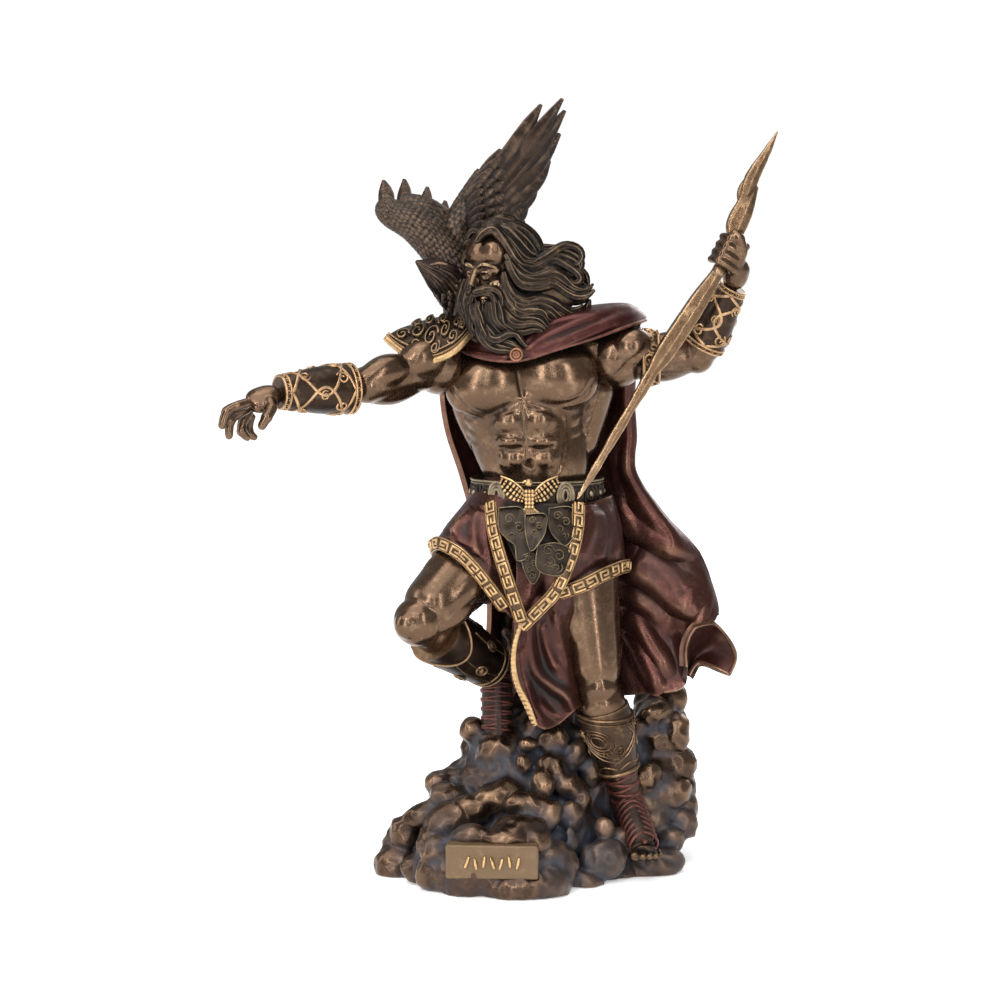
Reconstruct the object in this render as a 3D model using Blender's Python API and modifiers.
"""A cast figure of a bearded sky god on a bank of cloud, with an eagle behind one shoulder and a
bolt of lightning in the raised hand. Two pieces: the casting and the loose bolt in its fist.

Sizes are in metres. The figure's pose and proportions are shares of its height: its places are
written in UNIT, which is a millimetre at the true height. +Z is up and the figure faces -Y.
"""

import math
import random

import bmesh
import bpy
from mathutils import Euler, Matrix, Vector

# Driving dimensions
STATUE_HEIGHT = 0.302
CLOAK_THICKNESS = 0.0028
SKIRT_THICKNESS = 0.0026
FEATHER_THICKNESS = 0.0022
BELT_HEIGHT = 0.0098
BELT_PROUD = 0.0012
BOLT_GRIP_RADIUS = 0.0025
BOLT_BLADE_RADIUS = 0.0042
GRIP_CLEARANCE = 0.0005
PLATE_WIDTH = 0.0345
PLATE_HEIGHT = 0.0130
PLATE_PROUD = 0.0020
PLATE_CORNER = 0.0016
PLATE_DEPTH = 0.0120
PLATE_STROKE = 0.0009

UNIT = STATUE_HEIGHT / 302
STATUE_VOXEL = 1.0 * UNIT
BOLT_VOXEL = 0.45 * UNIT
STATUE_TRIANGLES = 9200
BOLT_TRIANGLES = 640
PLATE_STROKES = 9
PLATE_TURN = -4
CLOAK_ROWS = 15
FOLD_FADE = 5
HEAD_BROAD = 1.15
HEAD_SUNK = 0.22

# The pose: joints of the figure, in UNIT
PELVIS = (1.9, 1, 141)
RIGHT_SHOULDER = (-37, -4, 199.5)
RIGHT_ELBOW = (-68.5, -28, 191.5)
RIGHT_WRIST = (-95.5, -44, 191)
LEFT_SHOULDER = (31, 2, 201.5)
LEFT_ELBOW = (65.5, 2, 197.5)
LEFT_WRIST = (76, -6, 229)
FIST = (73, -12, 242)
RIGHT_HIP = (-10, -1, 137)
RIGHT_KNEE = (-44.5, -36, 104)
RIGHT_ANKLE = (-15, 4, 79)
RIGHT_TOE = (-15, -3, 52.5)
LEFT_HIP = (16, 1, 137)
LEFT_KNEE = (24.5, -9, 73)
LEFT_ANKLE = (36.5, -3, 28)
LEFT_TOE = (42.5, -23, 12)
HEAD = (-13.5, -5, 235)
HEAD_TURN = 43
HEAD_NOD = 6
BOLT_FOOT = (15.5, -29, 149.5)
BOLT_STEP = (45, -21.5, 199)
BOLT_TIP = (92.5, -4, 288.5)
BELT_CENTRE = (0.8, 0, 150)
PLATE_CENTRE = (-16.5, -47, 14)
CLOUD_BACK = 6


def place(point):
    return Vector(point) * UNIT


def along(values, t):
    """The smooth curve through these values, at t from 0 to 1."""
    last = len(values) - 1
    i = min(int(t * last), last - 1)
    f = t * last - i
    a, b, c, d = values[max(i - 1, 0)], values[i], values[i + 1], values[min(i + 2, last)]
    rise = (c - a) * (f / 2) + (2 * a - 5 * b + 4 * c - d) * (f**2 / 2)
    return b + rise + (3 * b - a - 3 * c + d) * (f**3 / 2)


def between(a, b, share):
    return tuple(p + (q - p) * share for p, q in zip(a, b))


def fold_line(line):
    """The course of a fold as seen from the front, as closely set points."""
    points = [place(p) for p in line]
    count = 2 * len(points)
    smooth = [along(points, i / count) for i in range(count + 1)]
    return [Vector((p.x, p.z)) for p in smooth]


def fold_height(point, line, to_left, to_right, height):
    """How far a fold stands out of the cloth at this point. It reaches a different way to each side of its
    course, and fades towards its ends."""
    flat = Vector((point.x, point.z))
    nearest, share, reach = max(to_left, to_right), 0, 1
    for i, (a, b) in enumerate(zip(line, line[1:])):
        if (a - flat).length > nearest + (b - a).length:
            continue
        way = b - a
        off = flat - a
        t = min(max(off.dot(way) / way.dot(way), 0), 1)
        gap = (off - way * t).length
        if gap < nearest:
            nearest, share = gap, (i + t) / (len(line) - 1)
            reach = gap / (to_left if way.x * off.y - way.y * off.x > 0 else to_right)
    fade = min(1, min(share, 1 - share) * FOLD_FADE + 0.1)
    return height * fade * (1 + math.cos(math.pi * min(reach, 1))) / 2


def keep_shape(shapes, bm):
    """Adds a finished shape, as a mesh, to the shapes that will be run together."""
    mesh = bpy.data.meshes.new("shape")
    bm.to_mesh(mesh)
    bm.free()
    shapes.append(mesh)


def ball(shapes, centre, radii, turn=(0, 0, 0)):
    """An ellipsoid, turned by degrees about X, Y and Z."""
    bm = bmesh.new()
    matrix = Matrix.Translation(place(centre))
    matrix @= Euler([math.radians(a) for a in turn]).to_matrix().to_4x4()
    matrix @= Matrix.Diagonal((radii[0] * UNIT, radii[1] * UNIT, radii[2] * UNIT, 1))
    bmesh.ops.create_icosphere(bm, subdivisions=3, radius=1, matrix=matrix)
    keep_shape(shapes, bm)


def sweep(shapes, path, wide, deep=None, facing=(0, -1, 0), rings=18, sides=10, blunt=False):
    """A ball drawn out along a path: wide is its half width, deep its half depth towards facing."""
    bm = bmesh.new()
    points = [place(p) for p in path]
    wide = [w * UNIT for w in wide]
    deep = [d * UNIT for d in deep] if deep else wide
    length = sum((b - a).length for a, b in zip(points, points[1:]))
    drawn = bmesh.ops.create_uvsphere(bm, u_segments=sides, v_segments=rings, radius=1)["verts"]
    for v in drawn:
        t = (1 - v.co.z) / 2
        angle = math.atan2(v.co.y, v.co.x)
        centre = along(points, t)
        heading = (along(points, min(t + 0.01, 1)) - along(points, max(t - 0.01, 0))).normalized()
        side = heading.cross(Vector(facing)).normalized()
        front = side.cross(heading)
        w, d = along(wide, t), along(deep, t)
        from_end = min(t, 1 - t) * length / max(w, 1e-6)
        end = math.sqrt(max(0, 1 - (1 - min(from_end, 1)) ** 2))
        if blunt:
            end = min(1, math.hypot(v.co.x, v.co.y) * 1e3)
        v.co = centre + end * (side * (w * math.cos(angle)) + front * (d * math.sin(angle)))
    keep_shape(shapes, bm)


def cloth(shapes, rows, thickness, across=40, down=36, folds=()):
    """A sheet through a cage of rows of points, with its thickness and its folds."""
    cage = [[place(p) for p in row] for row in rows]
    lines = [(fold_line(line), *(size * UNIT for size in sizes)) for line, *sizes in folds]
    sheet = bmesh.new()
    bmesh.ops.create_grid(sheet, x_segments=across, y_segments=down, size=1)
    for v in sheet.verts:
        u, w = (v.co.x + 1) / 2, (v.co.y + 1) / 2
        v.co = along([along(row, u) for row in cage], w)
        v.co.y -= sum(fold_height(v.co, *line) for line in lines)
    bmesh.ops.recalc_face_normals(sheet, faces=sheet.faces)
    bmesh.ops.solidify(sheet, geom=sheet.faces[:], thickness=thickness)
    keep_shape(shapes, sheet)


def locks(shapes, first, last, count, thick, seed):
    """A run of hair locks whose courses pass evenly from one guide to the other."""
    chance = random.Random(seed)
    for i in range(count):
        share = i / max(count - 1, 1)
        course = [between(a, b, share) for a, b in zip(first, last)]
        course = [tuple(c + chance.uniform(-0.7, 0.7) for c in p) for p in course]
        sweep(shapes, course, [thick, thick * 1.25, thick, thick * 0.5], rings=22, sides=7)


def head_place(point):
    """A place in the head's own axes: X to its left, Y to the back and Z up, in UNIT."""
    turned = Euler((math.radians(HEAD_NOD), 0, math.radians(-HEAD_TURN))).to_matrix() @ Vector(point)
    return tuple(Vector(HEAD) + turned)


def head(shapes):
    """A plain head on the usual proportions: eyes half way up, nose half way from there to the chin."""
    turn = (HEAD_NOD, 0, -HEAD_TURN)
    ball(shapes, head_place((0, 3, 3)), (12, 14.5, 14), turn)
    ball(shapes, head_place((0, -3, -5)), (10, 11, 13), turn)
    ball(shapes, head_place((0, -7, -13)), (6.5, 6.5, 5.5), turn)
    ball(shapes, head_place((0, -11.5, 3.4)), (8.6, 3, 2.4), turn)
    sweep(shapes, [head_place((0, -13.4, 2.5)), head_place((0, -15.5, -2)), head_place((0, -17, -6))],
          [1.4, 1.6, 2.2], rings=10)
    for side in (-1, 1):
        ball(shapes, head_place((side * 1.9, -14.8, -6)), (1.4, 1.9, 1.3), turn)
        ball(shapes, head_place((side * 6.4, -10.2, -4)), (3.6, 3, 3.2), turn)
        ball(shapes, head_place((side * 4.4, -11.6, 0)), (2.1, 1.7, 1.3), turn)
        ball(shapes, head_place((side * 12, 0, -2)), (1.4, 2.6, 4), turn)
    sweep(shapes, [(-5, 4, 202), (-7, 3, 212), (-10, 0, 224)], [10, 9.2, 8.8])


def torso(shapes):
    """Ribs, waist and pelvis, and over them the muscles that show."""
    sweep(shapes, [(-6, 3, 205), (-5, 2, 190), (-3, 1, 173), (0.5, 0, 159), (2, 0, 141)],
          [20, 27.2, 24.3, 21.3, 24.5], [12, 16.5, 15.6, 14.4, 17], rings=30, sides=24)
    ball(shapes, PELVIS, (25, 17, 15))
    sweep(shapes, [(-37, 0, 200), (-20, 3, 203), (-5, 3, 205), (13, 3, 204), (31, 2, 202)],
          [9, 11, 11, 11, 9])
    for side, chest, armpit, reach in ((-1, (-18.5, -8, 191.5), (-31.5, -5, 199), 27),
                                       (1, (8, -8, 194.5), (22.5, -5, 201), 31)):
        ball(shapes, chest, (15.6, 10.2, 12.8), (0, side * 12, 0))
        sweep(shapes, [chest, between(chest, armpit, 0.6), armpit], [10, 8.6, 6], [8.6, 8, 6.5])
        sweep(shapes, [(-4 + side * reach, 6, 195), (-3 + side * 25, 6, 180), (side * 20, 4, 163)],
              [7.5, 8, 5], [10, 10, 7])
        ball(shapes, (0.5 + side * 16.6, -1, 157), (6, 12, 13), (0, side * 6, 0))
        ball(shapes, (2 + side * 11, 14, 138), (11, 9, 11))
    for level, radii in ((181, (6.6, 5, 5.6)), (173.5, (6.2, 4.8, 4)), (166.5, (6.6, 5, 6))):
        for side in (-1, 1):
            ball(shapes, (-4.5 + 0.16 * (181 - level) + side * 6, -11.2, level), radii)


def right_arm(shapes):
    """The arm held out over the cloud, palm down."""
    ball(shapes, RIGHT_SHOULDER, (12, 12, 12.5))
    upper = [RIGHT_SHOULDER, between(RIGHT_SHOULDER, RIGHT_ELBOW, 0.5), RIGHT_ELBOW]
    sweep(shapes, upper, [11, 9, 8])
    sweep(shapes, [(-44, -11, 201), (-55, -19, 199), (-64, -25, 195)], [5, 6, 4])
    sweep(shapes, [(-44, -4, 194), (-55, -12, 190), (-66, -22, 188)], [6, 6.5, 4.5])
    lower = [RIGHT_ELBOW, between(RIGHT_ELBOW, RIGHT_WRIST, 0.35), RIGHT_WRIST]
    sweep(shapes, lower, [8.4, 8.8, 5.2])
    right_hand(shapes)


def right_hand(shapes):
    knuckles = (-106, -51, 186.5)
    sweep(shapes, [RIGHT_WRIST, between(RIGHT_WRIST, knuckles, 0.55), knuckles], [4.6, 5.6, 5.2],
          [4.6, 3.4, 3], facing=(0.45, -0.5, 0.75), sides=12)
    fingers = [
        [(-106, -55, 187), (-110, -58, 186), (-113.5, -60, 185), (-115, -61, 178)],
        [(-106.5, -52, 185.5), (-109.5, -55, 183.5), (-112.5, -57, 181.5), (-112.5, -58, 174.5)],
        [(-106, -48, 184), (-108, -50, 181), (-108.5, -51, 176.5), (-105.5, -50, 174)],
        [(-105.5, -45, 183), (-107, -45, 179.5), (-106.5, -45, 175), (-103.5, -44, 173.5)],
        [(-99, -49, 189), (-97.5, -53, 185.5), (-99.5, -55, 182), (-102, -56, 178)],
    ]
    for finger in fingers:
        sweep(shapes, finger, [2.5, 2.3, 2.1, 1.7], rings=14, sides=8)


def left_arm(shapes):
    """The arm raised to hold the bolt."""
    ball(shapes, LEFT_SHOULDER, (12.5, 12, 12.5))
    upper = [LEFT_SHOULDER, between(LEFT_SHOULDER, LEFT_ELBOW, 0.5), LEFT_ELBOW]
    sweep(shapes, upper, [11.5, 10, 8.4])
    sweep(shapes, [(38, -1, 205), (50, -2, 204), (60, -1, 202)], [5, 6.5, 4.5])
    sweep(shapes, [(38, 5, 196), (50, 5, 193.5), (62, 5, 193)], [6, 7, 5])
    ball(shapes, LEFT_ELBOW, (7.6, 8, 7.6))
    lower = [LEFT_ELBOW, between(LEFT_ELBOW, LEFT_WRIST, 0.35), LEFT_WRIST]
    sweep(shapes, lower, [8, 8.6, 5])
    left_hand(shapes)


def grip_way():
    """The way the bolt passes through the fist, half way between its two straight lengths."""
    below = (Vector(FIST) - Vector(BOLT_STEP)).normalized()
    above = (Vector(BOLT_TIP) - Vector(FIST)).normalized()
    return (below + above).normalized()


def left_hand(shapes):
    """A fist whose four fingers wrap round the bolt, with the thumb across them."""
    way = grip_way()
    across = way.cross(Vector((0, -1, 0))).normalized()
    front = across.cross(way)
    palm = Vector(FIST) + across * 4.5
    sweep(shapes, [LEFT_WRIST, between(LEFT_WRIST, palm, 0.5), palm], [4.8, 5.6, 6], sides=12)
    reach = BOLT_GRIP_RADIUS / UNIT + 2.2
    for step in range(4):
        middle = Vector(FIST) + way * (4.8 - 3.3 * step)
        curl = []
        for turn in range(7):
            angle = math.radians(-60 + 42 * turn)
            round_bolt = across * math.cos(angle) + front * math.sin(angle)
            curl.append(tuple(middle + round_bolt * reach))
        sweep(shapes, curl, [2.3, 2.2, 2.1, 1.9], rings=20, sides=8)
    fist = Vector(FIST)
    base = fist + across * 5 - way * 5
    joint = fist + across * 3 + front * 4 + way * 3
    tip = fist - across + front * 5.6 + way * 6
    sweep(shapes, [base, joint, tip], [2.6, 2.5, 2], rings=12, sides=8)


def legs(shapes):
    """The right leg drawn up on the cloud and the left one carrying the figure."""
    thigh = [RIGHT_HIP, between(RIGHT_HIP, RIGHT_KNEE, 0.5), RIGHT_KNEE]
    sweep(shapes, thigh, [15, 14.2, 11.2], rings=24, sides=14)
    ball(shapes, RIGHT_KNEE, (10.6, 10.2, 10.6))
    shin = [RIGHT_KNEE, between(RIGHT_KNEE, RIGHT_ANKLE, 0.4), RIGHT_ANKLE]
    sweep(shapes, shin, [9, 9.4, 6], rings=20)
    sweep(shapes, [RIGHT_ANKLE, between(RIGHT_ANKLE, RIGHT_TOE, 0.5), RIGHT_TOE], [6.4, 6, 5.6],
          [7, 5.6, 3.6])
    sweep(shapes, [LEFT_HIP, between(LEFT_HIP, LEFT_KNEE, 0.5), LEFT_KNEE], [16.2, 13.6, 9.6],
          rings=24, sides=14)
    ball(shapes, (14, -7, 112), (10, 8, 22), (4, 6, 0))
    ball(shapes, (26, -4, 92), (6, 8, 14), (4, 8, 0))
    ball(shapes, LEFT_KNEE, (8.8, 9.2, 9.2))
    ball(shapes, (25.5, -15.5, 73), (4.8, 3.6, 5))
    shin = [LEFT_KNEE, between(LEFT_KNEE, LEFT_ANKLE, 0.3), LEFT_ANKLE]
    sweep(shapes, shin, [9.2, 9.4, 5.4], rings=20)
    heel = (LEFT_ANKLE[0] - 1, LEFT_ANKLE[1] + 3.5, LEFT_ANKLE[2] - 9)
    sweep(shapes, [heel, between(heel, LEFT_TOE, 0.5), LEFT_TOE], [5, 5.4, 6], [6, 5, 3.4],
          facing=(0, 0, 1))
    sweep(shapes, [LEFT_ANKLE, between(heel, LEFT_TOE, 0.5), LEFT_TOE], [5.4, 5, 4], rings=12)


def greaves(shapes):
    """Flared cuffs below the knees, the laced boots under them, bracers and the armlet."""
    for start, end, shares, radii in (
        (RIGHT_KNEE, RIGHT_ANKLE, (0.22, 0.92), [11.4, 8.8]),
        (LEFT_KNEE, LEFT_ANKLE, (0.14, 0.3, 0.5, 0.72), [9.8, 10.6, 9.8, 7.4]),
        (RIGHT_ELBOW, RIGHT_WRIST, (0.04, 0.4, 1), [9.8, 9.2, 6]),
        (LEFT_ELBOW, LEFT_WRIST, (0.16, 0.45, 1), [9.6, 9, 6]),
    ):
        sweep(shapes, [between(start, end, share) for share in shares], radii, blunt=True, sides=20)
    for start, end, share, radius in (
        (RIGHT_ELBOW, RIGHT_WRIST, 0.04, 10.4), (RIGHT_ELBOW, RIGHT_WRIST, 0.97, 6.8),
        (LEFT_ELBOW, LEFT_WRIST, 0.16, 10.2), (LEFT_ELBOW, LEFT_WRIST, 0.97, 6.6),
        (LEFT_SHOULDER, LEFT_ELBOW, 0.32, 12.4), (LEFT_SHOULDER, LEFT_ELBOW, 0.5, 11.8),
        (RIGHT_KNEE, RIGHT_ANKLE, 0.24, 11.9), (RIGHT_KNEE, RIGHT_ANKLE, 0.9, 9.3),
        (LEFT_KNEE, LEFT_ANKLE, 0.15, 10.3), (LEFT_KNEE, LEFT_ANKLE, 0.7, 8.0),
    ):
        middle = Vector(between(start, end, share))
        way = (Vector(end) - Vector(start)).normalized()
        sweep(shapes, [tuple(middle - way), tuple(middle + way)], [radius, radius],
              blunt=True, sides=20, rings=4)


def pauldron(shapes):
    """The plate over the right shoulder, with its rolled rim."""
    rim = [(-57.5, -11, 210), (-50, -16, 204.5), (-41, -19, 201.5), (-32, -19, 204.5),
           (-24, -14, 212.5)]
    rows = [
        rim,
        [(-55.5, -9, 211.5), (-48.5, -15, 209), (-40, -18, 207), (-32, -17, 210), (-25.5, -12, 215)],
        [(-51.5, -3, 213.5), (-45.5, -8, 213.5), (-38, -11, 214), (-32, -10, 215), (-27, -6, 217)],
        [(-48, 7, 213.5), (-43, 4, 216), (-37, 2, 217.5), (-31, 2, 218), (-27, 3, 217.5)],
        [(-48, 14, 206), (-43, 16, 208), (-37.5, 18, 210), (-32.5, 18, 211), (-28, 17, 211)],
    ]
    cloth(shapes, rows, CLOAK_THICKNESS, across=24, down=20)
    sweep(shapes, rim, [1.7, 1.9, 1.9, 1.9, 1.6], rings=24)


def cloak(shapes):
    """The cloak from the mantle over both shoulders to its blown hem, one rib of places at a time."""
    ribs = [
        [(-35, 8, 204.5), (-37, 14, 190.5), (-33.5, 16, 172.5), (-25.5, 18, 152.5), (-22.5, 20, 128),
         (-19, 18, 104.5), (-20, 20, 81.5)],
        [(-28.5, 15, 210), (-30.5, 22, 190), (-27, 24, 172), (-21.5, 26, 151.5), (-17, 29, 127),
         (-13, 26, 103), (-13.5, 28, 75)],
        [(-18.5, 17, 215), (-19, 26, 189.5), (-17.5, 28, 171.5), (-13, 31, 151), (-8, 35, 126.5),
         (-4.5, 37, 101.5), (-4, 40, 67)],
        [(-6.5, 18, 216), (-7.5, 26, 189.5), (-5.5, 27, 171.5), (-2.5, 29, 151.5), (2.5, 31, 127),
         (6, 31, 100.5), (6.5, 32, 66)],
        [(5.5, 18, 216.5), (5.5, 28, 189.5), (6.5, 30, 171.5), (9, 33, 151), (13, 38, 126),
         (17, 41, 99), (19.5, 44, 62)],
        [(16.5, 16, 217.5), (18, 25, 189.5), (18.5, 27, 171.5), (21, 29, 151.5), (24, 30, 127),
         (28.5, 30, 99), (31, 30, 64)],
        [(25, 14, 219), (27.5, 22, 190), (28, 24, 172), (30.5, 24, 152), (32, 23, 128), (35, 21, 99),
         (38.5, 15, 66.5)],
        [(30, 11, 219.5), (32, 18, 190), (33, 20, 172), (34, 20, 152), (35.5, 19, 136.5),
         (38, 17, 120.5), (41, 15, 102.5), (44, 12, 85), (45, 7, 68.5)],
        [(33, 9, 219), (33.5, 16, 190.5), (34.5, 18, 172.5), (35.5, 18, 154), (39.5, 17, 139.5),
         (44, 15, 125), (47, 13, 105), (50, 10, 85.5), (50.5, 4, 69)],
        [(35.5, 8, 219), (35, 14, 190.5), (36, 16, 172.5), (36.5, 16, 155), (42, 15, 141.5),
         (48.5, 13, 127), (53, 11, 107.5), (55.5, 8, 88), (56, 3, 70)],
        [(37.5, 8, 218.5), (36, 13, 190.5), (37, 15, 172.5), (37.5, 14, 155), (44.5, 13, 142),
         (52.5, 11, 128), (58, 9, 109.5), (60, 6, 90), (60, 3, 74)],
        [(39, 8, 217.5), (36.5, 13, 190), (37.5, 14, 172), (37.5, 13, 155.5), (46.5, 12, 141.5),
         (56, 10, 127.5), (62, 8, 111.5), (63, 5, 98), (60, 1, 86)],
        [(40, 8, 217), (37, 13, 189), (38, 14, 171), (38, 13, 155.5), (48, 13, 140), (60, 12, 125.5),
         (66, 10, 113.5), (67.5, 7, 104.5), (63, 0, 96)],
        [(41.5, 8, 216), (37.5, 14, 189), (38.5, 15, 170), (38.5, 14, 155), (49.5, 15, 138.5),
         (64, 15, 123), (69, 14, 109.5), (71, 11, 101.5), (70.5, 5, 97)],
    ]
    rows = []
    for step in range(CLOAK_ROWS + 1):
        rows.append([tuple(along([Vector(p) for p in rib], step / CLOAK_ROWS)) for rib in ribs])
    folds = [
        ([(25, 20, 150), (28.5, 18, 141), (33, 16, 136), (38.5, 14, 133), (44, 13, 130.5),
          (49, 12, 127.5), (55, 12, 126), (63.5, 14, 124)], 15, 4.2, 6),
        ([(38, 17, 147), (43.5, 15, 142), (50, 13, 137), (56, 12, 133)], 4.5, 5, 1.8),
        ([(32.5, 18, 118), (39.5, 16, 116.5), (45, 14, 113.5), (50, 12, 109.5), (54.5, 10, 105.5),
          (60, 9, 103), (67.5, 12, 100.5)], 13, 5, 5),
        ([(42, 16, 124), (48, 14, 121), (54.5, 12, 115.5), (60.5, 10, 109.5)], 5, 6, 1.6),
        ([(32.5, 20, 108), (40, 17, 105.5), (46, 14, 102.5), (51.5, 12, 97)], 4.5, 6, 2.4),
        ([(32.5, 20, 99.5), (39, 17, 96), (43, 14, 92), (46.5, 12, 87), (50, 9, 81.5), (53, 6, 75)],
         5, 6, 3.6),
        ([(33, 20, 92), (39, 15, 88), (43, 12, 82), (47, 8, 75.5), (50.5, 6, 69.5)], 4, 5.5, 3),
        ([(54.5, 9, 93), (56.5, 7, 83.5), (57, 5, 72.5)], 6, 6, -2),
        ([(31, 20, 156), (33, 18, 168.5), (34.5, 16, 184.5)], 4, 4, 1.4),
        ([(-25.5, 22, 152), (-23.5, 24, 135.5), (-21.5, 22, 120), (-19.5, 22, 103.5)], 4, 4, 1.4),
        ([(-33.5, 14, 184.5), (-29.5, 18, 168.5), (-24, 20, 152)], 4, 4, 1.4),
    ]
    cloth(shapes, rows, CLOAK_THICKNESS, across=96, down=60, folds=folds)
    lip = [
        [(59.5, 3, 80), (59.5, 1, 89), (63, 0, 96), (70.5, 5, 97)],
        [(60.5, 8, 78), (62.5, 11, 84.5), (68, 12, 89), (76, 10, 90.5)],
        [(61, 12, 76), (65, 15, 82), (71, 14, 84), (79.5, 9, 84.5)],
        [(60.5, 8, 75.5), (65, 12, 80.5), (72, 8, 78.5), (79, 3, 77.5)],
    ]
    cloth(shapes, lip, CLOAK_THICKNESS, across=24, down=16)
    mantle = [
        [(-32, -6, 206.5), (-21.5, -15, 202.5), (-7, -20, 200.5), (9, -18, 205.5), (24.5, -12, 210),
         (36.5, -6, 214), (42.5, 4, 216)],
        [(-30.5, -3, 212.5), (-20.5, -13, 209.5), (-7, -19, 207), (7.5, -16, 214), (22.5, -9, 219.5),
         (36.5, 0, 221.5), (43.5, 8, 217.5)],
        [(-27.5, 6, 215.5), (-18.5, -4, 215), (-8, -6, 213.5), (5.5, -4, 219.5), (21, 2, 222.5),
         (35, 7, 222.5), (41.5, 12, 219)],
        [(-25.5, 15, 211), (-17.5, 16, 213.5), (-7.5, 18, 215), (6, 18, 216), (21.5, 15, 218),
         (33.5, 12, 217), (40.5, 12, 212)],
    ]
    cloth(shapes, mantle, CLOAK_THICKNESS, across=40, down=20)
    sweep(shapes, mantle[0], [1.6, 1.8, 1.4, 1.6, 1.8, 1.8, 1.6], rings=30)
    ball(shapes, (-7, -21, 204.5), (3.4, 2.2, 3.4))


def skirt(shapes):
    """The short skirt over both thighs, its borders, the long fall of cloth and the apron."""
    sweep(shapes, [(-6, 1, 144), between(RIGHT_HIP, RIGHT_KNEE, 0.25),
                   between(RIGHT_HIP, RIGHT_KNEE, 0.5)],
          [18, 17.6, 16.6], blunt=True, sides=24, rings=20)
    sweep(shapes, [(13, 1, 144), (16, 0.5, 133), between(LEFT_HIP, LEFT_KNEE, 0.27)],
          [18, 18, 17.4], blunt=True, sides=24, rings=20)
    ball(shapes, (3, 2, 138), (28, 18.5, 14))
    left_panel = [
        [(-24.5, -15, 147), (-21, -19, 147), (-17.5, -21, 146)],
        [(-32.5, -25, 135.5), (-24.5, -29, 132), (-16, -28, 132)],
        [(-28, -32, 127), (-19, -33, 120), (-12, -31, 117)],
        [(-13.5, -32, 110), (-10.5, -31, 106), (-7, -30, 101.5)],
    ]
    right_panel = [
        [(15.5, -21, 146), (21, -18, 146.5), (26.5, -8, 146)],
        [(12.5, -27, 132), (22, -22, 133.5), (31, -8, 133.5)],
        [(7, -29, 117), (19, -24, 120), (33.5, -7, 123)],
        [(-4.5, -30, 102), (3.5, -27, 110), (21, -22, 115)],
    ]
    for panel in (left_panel, right_panel):
        cloth(shapes, panel, SKIRT_THICKNESS, across=20, down=20)
    fall = [
        [(-7.5, -24, 131.5), (-2, -25, 131.5), (3.5, -26, 132), (9, -25, 131.5), (14, -21, 131)],
        [(-7.5, -28, 111), (-2, -27, 111), (3, -24, 110.5), (9, -25, 110.5), (15, -18, 109.5)],
        [(-8.5, -27, 95.5), (-3.5, -24, 93), (2, -21, 92.5), (8, -21, 94.5), (15.5, -11, 93)],
        [(-9, -23, 79.5), (-3, -21, 75), (3.5, -17, 74.5), (12, -18, 78.5), (18.5, -8, 76.5)],
        [(-0.5, -20, 61.5), (4, -20, 59.5), (9.5, -16, 61), (15.5, -17, 66.5), (20.5, -7, 67.5)],
    ]
    cloth(shapes, fall, SKIRT_THICKNESS, across=30, down=30)
    ball(shapes, (4, -12, 108), (9, 8, 24), (-4, 0, 0))
    borders = [
        [(-40, -14, 130.5), (-36.5, -26, 133), (-29.5, -33, 128.5), (-19.5, -33, 116.5),
         (-8.5, -28, 102)],
        [(-17.5, -20, 146.5), (-16, -27, 134), (-12, -31, 117), (-7, -29, 100.5)],
        [(15.5, -22, 146), (13, -26, 132), (7.5, -28, 117), (-6, -29, 101)],
        [(-7, -29, 100.5), (-9, -27, 89.5), (-9.5, -24, 77.5), (-6, -22, 70), (-0.5, -21, 62)],
        [(8, -22, 111.5), (17, -23, 114.5), (26, -19, 118), (33.5, -8, 120.5)],
    ]
    for border in borders:
        sweep(shapes, border, [2.7] * len(border), [1.7] * len(border), rings=26, sides=8)
    apron = [
        [(-12.5, -21, 148.5), (-6, -23, 147.5), (1.5, -23, 147.5), (8.5, -23, 147.5),
         (14.5, -21, 148.5)],
        [(-13, -25, 137.5), (-6, -28, 136.5), (1.5, -28, 135.5), (8.5, -27, 136), (14, -24, 138)],
        [(-7.5, -27, 128), (-4, -29, 128), (2.5, -29, 125.5), (8.5, -28, 125.5), (14, -25, 127.5)],
        [(-6, -27, 124), (-2.5, -28, 125.5), (4, -28, 119.5), (9, -28, 116.5), (13, -26, 118.5)],
    ]
    cloth(shapes, apron, SKIRT_THICKNESS, across=20, down=20)


def belt(shapes):
    """The broad belt and its buckle, a small bird with spread wings."""
    half = BELT_HEIGHT / UNIT / 2
    proud = BELT_PROUD / UNIT
    x, y, z = BELT_CENTRE
    sweep(shapes, [(x, y, z - half), (x, y, z + half)], [24.4 + proud] * 2, [17.4 + proud] * 2,
          blunt=True, sides=32, rings=6)
    for level in (half - 0.6, 0.6 - half):
        sweep(shapes, [(x, y, z + level - 0.6), (x, y, z + level + 0.6)],
              [25 + proud] * 2, [18 + proud] * 2,
              blunt=True, sides=32, rings=4)
    ball(shapes, (-2, -22, 151), (2.7, 2.8, 5))
    for side in (-1, 1):
        root = (-2, -22, 150)
        tip = (root[0] + side * 11, root[1] + 1.4, root[2] + 6.6)
        middle = (root[0] + side * 6, root[1], root[2] - 0.5)
        sweep(shapes, [root, middle, tip], [2.8, 3.4, 1.6], [1.7, 1.7, 1.5], rings=12, sides=8)
    sweep(shapes, [(-2, -22, 147.5), (-2, -24, 143.5)], [2, 4], [1.6, 1.6], rings=8, sides=8)
def feather(shapes, root, bend, tip, width, facing):
    """A long blade, turned a little about its own length so that one edge stands over its neighbour."""
    sweep(shapes, [root, bend, tip], [width * 0.7, width, width * 0.85, width * 0.3],
          [FEATHER_THICKNESS / UNIT / 2] * 4, facing=facing, rings=14, sides=8)


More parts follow.
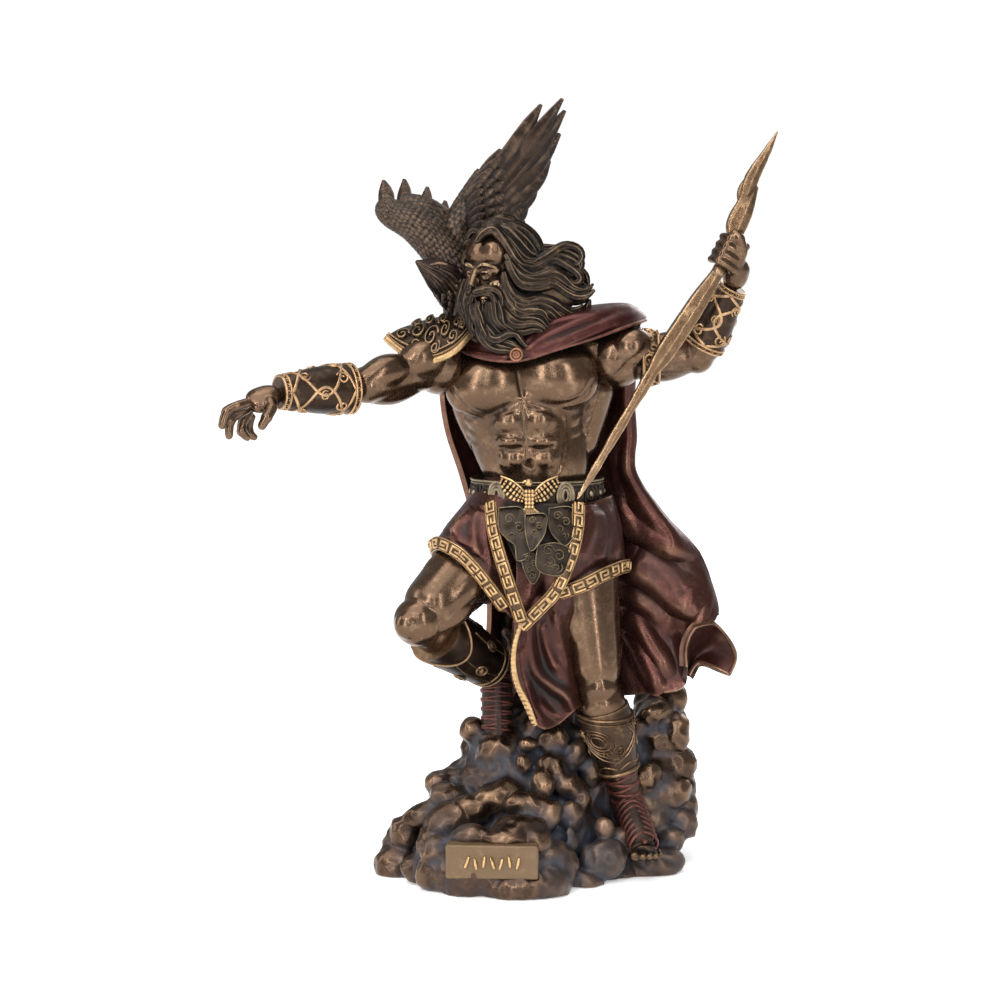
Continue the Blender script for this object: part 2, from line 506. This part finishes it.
def eagle(shapes):
    """The eagle behind the right shoulder: body, head, and both raised wings."""
    sweep(shapes, [(-24, 12, 208), (-26, 12, 220), (-30, 8, 228.5), (-34.5, 3, 233.5)],
          [10, 10, 8.5, 6.5], rings=20)
    ball(shapes, (-37, 0, 234), (6, 6, 5.4))
    ball(shapes, (-34, 3, 228), (6, 6, 8))
    sweep(shapes, [(-39, -2, 236.5), (-42, -5, 238.5), (-46, -6, 238.5)], [3.6, 2.4, 0.6],
          rings=8, sides=8)
    for trail in ((-27, 16, 206), (-24, 16, 205), (-20.5, 16, 206)):
        feather(shapes, (-24.5, 13, 214), between((-24.5, 13, 214), trail, 0.5), trail, 3, (0, -1, 0))
    near_wing(shapes)
    far_wing(shapes)


def near_wing(shapes):
    """The wing on the figure's right, seen along its leading edge."""
    arm = [(-28.5, 9, 233), (-36.5, 6, 243.5), (-46, 4, 252.5), (-56, 5, 258), (-58.5, 8, 260.5)]
    sweep(shapes, arm, [9, 8, 7.2, 5.8, 4], rings=24, sides=12)
    sweep(shapes, [(-28, 16, 238.5), (-35.5, 14, 248.5), (-45, 12, 257), (-53.5, 12, 261)],
          [9, 9, 8, 5], rings=20)
    tips = [(-59.5, 22, 270.5), (-51.5, 28, 271), (-42.5, 33, 268), (-35.5, 38, 262.5),
            (-29.5, 40, 255.5), (-25, 40, 247)]
    for i, tip in enumerate(tips):
        share = i / (len(tips) - 1)
        root = between((-57, 8, 258), (-28.5, 12, 238.5), share)
        bend = between(root, tip, 0.55)
        bend = (bend[0], bend[1] + 3, bend[2] - 1)
        feather(shapes, root, bend, tip, 4.6 + share, (-0.5, -0.7, 0.5))
        under = (tip[0] + 4, tip[1] + 6, tip[2] - 9)
        feather(shapes, root, between(root, under, 0.55), under, 5, (-0.5, -0.7, 0.5))


def far_wing(shapes):
    """The wing that stands high behind the head, its primaries spread like fingers."""
    arm = [(-24, 13, 231.5), (-28.5, 10, 242.5), (-31, 9, 250), (-27, 11, 260.5), (-20, 13, 273.5)]
    sweep(shapes, arm, [8, 7, 6, 5, 3], rings=24, sides=10)
    primaries = [
        ((-26, 11, 260.5), (-20, 13, 272.5), (-13.5, 15, 282.5), 3),
        ((-24, 12, 261), (-7.5, 17, 284), (2.5, 22, 300), 4),
        ((-22, 13, 259), (-3.5, 19, 282), (11, 26, 302.5), 4.2),
        ((-22.5, 14, 256.5), (-2, 21, 278.5), (12, 28, 298), 4.4),
        ((-22.5, 15, 254), (-2, 22, 274), (10, 29, 289), 4.8),
        ((-22.5, 15, 251), (-2.5, 23, 268.5), (6, 29, 278.5), 5),
        ((-22.5, 15, 248), (-5, 23, 263), (1, 28, 269.5), 5),
        ((-22.5, 15, 245), (-7.5, 22, 257.5), (-2.5, 27, 261.5), 5),
        ((-22.5, 15, 241), (-10.5, 21, 251), (-4, 26, 254.5), 5),
        ((-22.5, 15, 237), (-11.5, 20, 245), (-6.5, 24, 246.5), 5),
    ]
    for root, bend, tip, width in primaries:
        feather(shapes, root, bend, tip, width, (0.5, -0.85, -0.1))
    for i in range(7):
        share = i / 6
        root = between((-27, 10, 260.5), (-25.5, 11, 238.5), share)
        tip = between((-13.5, 14, 277), (-9, 17, 248.5), share)
        feather(shapes, root, between(root, tip, 0.6), tip, 4.6, (0.5, -0.85, -0.1))


def hair(shapes):
    """Hair and beard blown to the figure's left, as a mass with the main locks on it."""
    turn = (0, 0, -HEAD_TURN)
    ball(shapes, head_place((0, 6, 5)), (14.5, 14, 14), turn)
    sweep(shapes, [(-13.5, 0, 243.5), (-4, 1, 238.5), (5.5, 0, 236.5), (12.5, -1, 234)], [11, 10, 7, 4])
    sweep(shapes, [(-8, -3, 230), (2, -3, 227), (11.5, -3, 225.5), (18, -3, 225)], [11, 10, 7, 3.5])
    sweep(shapes, [(-13.5, -9, 222.5), (-6, -9, 217.5), (3.5, -8, 214.5), (11.5, -6, 212.5)],
          [10, 10, 7, 3.5])
    sweep(shapes, [(-18, -14, 222.5), (-18, -15, 215), (-13.5, -15, 209), (-8, -16, 207)], [8, 8, 6, 3])
    sweep(shapes, [(-25.5, 4, 231.5), (-26, 4, 222), (-24.5, 6, 212.5)], [7, 7, 6])
    runs = [
        ([(-20, -6, 250), (-12.5, -3, 252), (-4.5, 0, 248), (4, 1, 241), (12, 1, 238.5),
          (16, -1, 235.5)],
         [(-24.5, -15, 239), (-19.5, -16, 245.5), (-12.5, -17, 243.5), (-7, -16, 236),
          (1.5, -12, 235.5), (10, -7, 238)], 8, 2.0, 3),
        ([(-9, -15, 239), (-5.5, -16, 231), (1.5, -14, 230.5), (7.5, -11, 233.5), (13.5, -8, 229),
          (20.5, -5, 226.5)],
         [(-10.5, -16, 230), (-6, -15, 225), (1.5, -13, 224.5), (8.5, -10, 224.5), (14, -7, 222),
          (18.5, -4, 222.5)], 5, 2.2, 5),
        ([(-13, -18, 227.5), (-9, -18, 220.5), (-2.5, -17, 218.5), (4.5, -15, 219.5), (9, -14, 216),
          (12, -13, 211.5)],
         [(-19.5, -22, 222.5), (-19, -23, 215), (-15, -23, 209.5), (-9, -22, 208.5), (-6, -22, 205.5),
          (-4.5, -22, 202.5)], 9, 1.9, 7),
        ([(-22, -20, 224.5), (-23.5, -20, 217), (-23, -19, 210), (-19.5, -18, 205)],
         [(-19, -22, 223.5), (-20.5, -23, 215), (-18, -22, 208.5), (-13, -21, 205.5)], 4, 1.9, 9),
        ([(-22, -21, 225.5), (-17.5, -23, 226), (-13.5, -21, 224), (-13, -20, 217.5)],
         [(-22.5, -21, 224.5), (-24, -21, 223), (-24.5, -20, 220), (-23.5, -19, 216)], 2, 1.7, 11),
    ]
    for first, last, count, thick, seed in runs:
        locks(shapes, first, last, count, thick, seed)
    for curl in ((16, -3, 238.5), (20, -5, 225), (12, 0, 240), (17, -4, 235)):
        ball(shapes, curl, (3.6, 3.6, 3.4))


def puffs(shapes, centre, radii, count, size, seed):
    """Cloud heads spread evenly over the back of a mass, each a little different."""
    chance = random.Random(seed)
    for i in range(count):
        up = 1 - 1.5 * (i + 0.5) / count
        angle = i * math.pi * (3 - math.sqrt(5)) + seed
        flat = math.sqrt(max(0, 1 - up * up))
        spot = (centre[0] + radii[0] * 0.9 * flat * math.cos(angle),
                centre[1] + radii[1] * 0.9 * flat * math.sin(angle),
                centre[2] + radii[2] * 0.88 * up)
        radius = size * chance.uniform(0.75, 1.15)
        if spot[2] > radius * 0.4 and spot[1] > CLOUD_BACK:
            ball(shapes, spot, (radius, radius, radius * 0.9), (0, chance.uniform(-25, 25), 0))


def block(shapes, axes, centre, sizes):
    """A box, its middle and sizes given in these axes."""
    bm = bmesh.new()
    matrix = axes @ Matrix.Translation(centre) @ Matrix.Diagonal((*sizes, 1))
    bmesh.ops.create_cube(bm, size=1, matrix=matrix)
    keep_shape(shapes, bm)


def cloud(shapes):
    """The bank of cloud: broad masses, the heads that show in front, and rounder ones behind."""
    masses = [
        ((-19, 2, 0), (36, 37, 14), 34, 9), ((18.5, 8, 0), (33, 29, 12), 26, 8.5), ((-1.5, 8, 15),
                                                                                    (35, 31, 21), 30, 8),
        ((-10.5, 8, 31.5), (22, 23, 21), 22, 6.5), ((2.5, 12, 42.5), (18, 16, 21),
                                                    16, 6), ((47.5, 20, 22.5), (13, 15, 30), 16, 6.5),
        ((49.5, 24, 50.5), (9, 10, 17), 8, 7), ((26.5, 18, 27), (22, 18, 26), 14, 7), ((-9, 24, 66.5),
                                                                                       (6, 8, 36), 12, 4.5),
        ((10.5, 28, 53.5), (15, 11, 32), 12, 6), ((-13.5, 4, 46.5), (11, 13, 12),
                                                  12, 5.5), ((-16.5, -28, 7), (30, 19, 13), 0, 6),
        ((10, -17, 5), (16, 11, 8), 0, 6),
    ]
    for seed, (centre, radii, count, size) in enumerate(masses):
        ball(shapes, centre, radii)
        puffs(shapes, centre, radii, count, size, seed)
    heads = [
        ((-23.5, 2, 53.5), 5.4, 1.2, 10), ((-17, -5, 46.5), 6.2, 1.0, 0), ((-2.5, -8, 51),
                                                                           3, 1, 0),
        ((15, -4, 45), 5, 1.5, -35),
        ((-4.5, -12, 43.5), 3.4, 1.4, 8), ((6.5, -10, 42.5), 5.6, 0.9, 20), ((2.5, -16, 36.5),
                                                                             4, 1.5, 12),
        ((13, -12, 35.5), 4.8, 1, 0),
        ((-38, -2, 33), 4.6, 1.4, 10), ((-31.5, 2, 35.5), 5.4, 0.7, 10), ((-33.5, -10, 30),
                                                                          6, 0.75, 0),
        ((-17, -18, 31.5), 5, 0.7, 5),
        ((-10.5, -16, 34), 4.4, 0.8, -10), ((-33.5, -22, 21), 8.4, 0.95, 15), ((-45, -10, 23.5),
                                                                               5.6, 0.65, 25),
        ((-51, -8, 16), 5.6, 1.1, 5),
        ((-56, -4, 9.5), 4, 1.7, 12), ((-53.5, -10, 2.5), 7.6, 0.8, -15), ((-37.5, -32, 8),
                                                                           5.6, 2.0, 4),
        ((-6.5, -34, 22), 8, 0.65, 0),
        ((-2.5, -22, 29), 5.8, 0.6, -8), ((4, -24, 25), 5, 1.7, -48), ((14, -20, 25),
                                                                       4.6, 1.2, 0),
        ((13.5, -26, 18), 3.4, 2.0, 5),
        ((8, -34, 9.5), 7.4, 1.25, 0), ((26.5, -22, 8), 7.4, 0.9, 0), ((26.5, -18, 20),
                                                                       3.4, 1.3, 10),
        ((-6.5, -42, 3.5), 11, 0.42, 0),
        ((-37.5, -36, 16), 6, 0.9, 0), ((4.5, -36, 10), 7, 1.2, 0), ((-25, -38, 21), 6, 0.6, 0),
        ((-13.5, -40, 21), 6, 0.5, 0), ((-3, -38, 19.5), 5.4, 0.6, 0), ((-39.5, -34, 7), 6, 1.3, 0),
        ((-23, -40, 2.5), 8, 0.55, 6), ((3.5, -38, 2), 7, 0.6, -6), ((54, 2, 9.5),
                                                                     5, 1, 0),
        ((60, 8, 14.5), 5, 1.1, 15),
        ((58.5, 16, 37.5), 5.8, 1, 0), ((60, 16, 28.5), 5, 1, 0), ((50, 10, 34),
                                                                   5, 1, 20),
        ((49, 22, 58), 8.2, 1.1, 0),
        ((41, 14, 51), 4, 1.4, 0), ((49, 18, 48.5), 6, 0.8, 0), ((43, 6, 30),
                                                                 3, 1.3, 0), ((53, 12, 22), 6, 1.2, 10),
        ((60, 14, 21.5), 5, 1.2, 0), ((47, -8, 4), 8, 0.5, 0), ((-24, 2, 43),
                                                                4.4, 1.5, 0),
        ((-13, -2, 51), 5, 1.1, 0),
        ((7, -6, 52.5), 5, 0.9, 10), ((-12, 26, 94), 4.6, 1.2, 0), ((-9, 24, 81),
                                                                    5, 1.3, 0),
        ((-15, 14, 62.5), 5, 1.4, 0),
        ((18.5, -12, 30), 4.6, 1.7, 5), ((22, -2, 39.5), 4.6, 1.6, 0), ((33, -14, 13.5),
                                                                        4.6, 0.8, 0),
        ((-25.5, -20, 27), 5, 0.7, -8),
        ((-41.5, -26, 15), 5, 1.0, 0), ((-46, -24, 6), 6, 0.8, 10), ((18, -26, 0),
                                                                     6, 0.6, 0),
        ((41.5, -10, 0), 6, 0.5, 0),
    ]
    for (x, y, z), radius, tall, lean in heads:
        wide, high = radius * HEAD_BROAD / math.sqrt(tall), radius * HEAD_BROAD * math.sqrt(tall)
        ball(shapes, (x, y + radius * HEAD_SUNK, z), (wide, radius, high), (0, -lean, 0))


def plate(shapes):
    """The name plate let into the cloud, with a row of shallow strokes that spell nothing."""
    centre = place(PLATE_CENTRE)
    tilt = Matrix.Translation(centre) @ Matrix.Rotation(math.radians(PLATE_TURN), 4, "Z")
    half_wide, half_high = PLATE_WIDTH / 2, PLATE_HEIGHT / 2
    for wide, high in ((half_wide, half_high - PLATE_CORNER), (half_wide - PLATE_CORNER, half_high)):
        block(shapes, tilt, (0, PLATE_DEPTH / 2 - PLATE_PROUD, 0), (2 * wide, PLATE_DEPTH, 2 * high))
    for i in range(PLATE_STROKES):
        aside = (i - (PLATE_STROKES - 1) / 2) * PLATE_WIDTH * 0.78 / PLATE_STROKES
        height = PLATE_HEIGHT * (0.46, 0.3, 0.4)[i % 3]
        block(shapes, tilt, (aside, -PLATE_PROUD, 0), (PLATE_STROKE, PLATE_STROKE, height))


def one_skin(name, build, voxel, smoothing):
    """Everything that build adds, run together into one closed skin."""
    shapes = []
    build(shapes)
    bm = bmesh.new()
    for shape in shapes:
        bm.from_mesh(shape)
        bpy.data.meshes.remove(shape)
    mesh = bpy.data.meshes.new(name)
    bm.to_mesh(mesh)
    bm.free()
    piece = bpy.data.objects.new(name, mesh)
    COLLECTION.objects.link(piece)
    remesh = piece.modifiers.new("One skin", "REMESH")
    remesh.mode = "VOXEL"
    remesh.voxel_size = voxel
    smooth = piece.modifiers.new("Soften", "SMOOTH")
    smooth.iterations = smoothing
    piece.data = evaluated_mesh(piece)
    piece.modifiers.clear()
    return piece


def keep_outer_skin(piece):
    """Drops every loose shell but the largest, such as the wall of a sealed hollow."""
    bm = bmesh.new()
    bm.from_mesh(piece.data)
    left = set(bm.verts)
    shells = []
    while left:
        shell, edge_of_shell = set(), [left.pop()]
        while edge_of_shell:
            v = edge_of_shell.pop()
            shell.add(v)
            near = [e.other_vert(v) for e in v.link_edges]
            edge_of_shell += [n for n in near if n in left]
            left.difference_update(near)
        shells.append(shell)
    shells.sort(key=len)
    bmesh.ops.delete(bm, geom=[v for shell in shells[:-1] for v in shell], context="VERTS")
    bm.to_mesh(piece.data)
    bm.free()


def thin_to(piece, triangles):
    """Collapses edges where the surface is flattest, down to a count of triangles."""
    thin = piece.modifiers.new("Thin", "DECIMATE")
    thin.ratio = min(1, triangles / (2 * len(piece.data.polygons)))
    piece.data = evaluated_mesh(piece)
    piece.modifiers.clear()


def evaluated_mesh(piece):
    bpy.context.view_layer.update()
    graph = bpy.context.evaluated_depsgraph_get()
    return bpy.data.meshes.new_from_object(piece.evaluated_get(graph))


def cut_flat(piece):
    """Cuts the piece off at the ground, which gives it a flat underside."""
    bm = bmesh.new()
    bm.from_mesh(piece.data)
    geometry = bm.verts[:] + bm.edges[:] + bm.faces[:]
    bmesh.ops.bisect_plane(bm, geom=geometry, plane_co=(0, 0, 0), plane_no=(0, 0, 1), clear_inner=True)
    bmesh.ops.holes_fill(bm, edges=[e for e in bm.edges if e.is_boundary])
    bmesh.ops.triangulate(bm, faces=bm.faces[:])
    bmesh.ops.recalc_face_normals(bm, faces=bm.faces[:])
    bm.to_mesh(piece.data)
    bm.free()


def flesh(shapes):
    for shape in (head, torso, right_arm, left_arm, legs):
        shape(shapes)


def figure_and_cloud(shapes):
    """The bare figure, softened by itself, with everything that it wears and stands on."""
    for shape in (greaves, pauldron, cloak, skirt, belt, eagle, hair, cloud, plate):
        shape(shapes)
    bare = one_skin("bare figure", flesh, STATUE_VOXEL, 6)
    shapes.append(bare.data)
    bpy.data.objects.remove(bare)


def bolt_shape(shapes, room=0):
    """The bolt as overlapping blades, round where the fist holds it, each side grown by some room."""
    grip = BOLT_GRIP_RADIUS / UNIT
    blade = BOLT_BLADE_RADIUS / UNIT
    edge = room / UNIT
    way = grip_way()
    below = tuple(Vector(FIST) - way * 8.5)
    above = tuple(Vector(FIST) + way * 8.5)
    blades = [
        ([BOLT_FOOT, between(BOLT_FOOT, BOLT_STEP, 0.2), between(BOLT_FOOT, BOLT_STEP, 0.42)],
         [0.4, 1.7, 1.5]),
        ([between(BOLT_FOOT, BOLT_STEP, 0.3), between(BOLT_FOOT, BOLT_STEP, 0.5),
          between(BOLT_FOOT, BOLT_STEP, 0.74)], [1.3, 2.1, 1.7]),
        ([between(BOLT_FOOT, BOLT_STEP, 0.62), between(BOLT_FOOT, BOLT_STEP, 0.85), BOLT_STEP,
          between(BOLT_STEP, below, 0.16)], [1.6, 2.5, 2.4, 1.6]),
        ([between(BOLT_STEP, below, share) for share in (-0.08, 0.12, 0.4, 0.7, 0.92, 1.04)],
         [2, blade * 0.92, blade, blade * 0.94, blade * 0.72, grip]),
        ([between(above, BOLT_TIP, -0.06), (76.5, -10, 252), (80, -9, 259), (82.5, -8, 264),
          (84.5, -7.5, 267.5)],
         [grip, blade, blade * 0.85, blade * 0.5, 0.8]),
        ([between(above, BOLT_TIP, -0.06), (75.5, -10, 253), (78.5, -9, 260.5), (80.5, -8, 266)],
         [grip, blade * 0.8, blade * 0.6, 1.2]),
        ([(78.5, -9, 258.5), (78.5, -8, 264), (79.5, -8, 267.5), (82, -7, 272)], [1, 2, 2, 1]),
        ([(78, -9, 257.5), (81, -8, 267), (84, -7, 273.5), (88.5, -5.5, 281), BOLT_TIP],
         [1.4, 3, 2.8, 1.7, 0.4]),
    ]
    for path, half_widths in blades:
        sweep(shapes, path, [w + edge for w in half_widths], [w * 0.7 + edge for w in half_widths],
              facing=(0.3, -1, 0), rings=14, sides=6)
    sweep(shapes, [tuple(Vector(FIST) - way * 10), FIST, tuple(Vector(FIST) + way * 10)],
          [grip + edge] * 3, rings=16,
          sides=12)


def make_room_for_bolt(piece):
    """Opens the fist, and whatever else the bolt would touch, with clearance all round."""
    cutter = one_skin("bolt_room", lambda shapes: bolt_shape(shapes, GRIP_CLEARANCE), BOLT_VOXEL, 0)
    keep_outer_skin(cutter)
    thin_to(cutter, BOLT_TRIANGLES)
    COLLECTION.objects.unlink(cutter)
    CUTTERS.objects.link(cutter)
    cutter.hide_render = True
    cutter.display_type = "WIRE"
    room = piece.modifiers.new("Room for the bolt", "BOOLEAN")
    room.operation = "DIFFERENCE"
    room.object = cutter


def finish(piece, colour, roughness, metallic):
    material = bpy.data.materials.new(piece.name)
    material.use_nodes = True
    shader = material.node_tree.nodes["Principled BSDF"]
    shader.inputs["Base Color"].default_value = (*colour, 1)
    shader.inputs["Roughness"].default_value = roughness
    shader.inputs["Metallic"].default_value = metallic
    piece.data.materials.clear()
    piece.data.materials.append(material)
    piece.data.shade_smooth()
    piece.data.set_sharp_from_angle(angle=math.radians(38))


for old in list(bpy.data.objects):
    bpy.data.objects.remove(old)
COLLECTION = bpy.data.collections.new("sky god statue")
CUTTERS = bpy.data.collections.new("cutters")
bpy.context.scene.collection.children.link(COLLECTION)
bpy.context.scene.collection.children.link(CUTTERS)

statue = one_skin("statue", figure_and_cloud, STATUE_VOXEL, 2)
keep_outer_skin(statue)
thin_to(statue, STATUE_TRIANGLES)
cut_flat(statue)
make_room_for_bolt(statue)
finish(statue, (0.19, 0.12, 0.075), 0.42, 0.8)
bolt = one_skin("thunderbolt", bolt_shape, BOLT_VOXEL, 0)
keep_outer_skin(bolt)
thin_to(bolt, BOLT_TRIANGLES)
finish(bolt, (0.48, 0.31, 0.15), 0.38, 0.85)
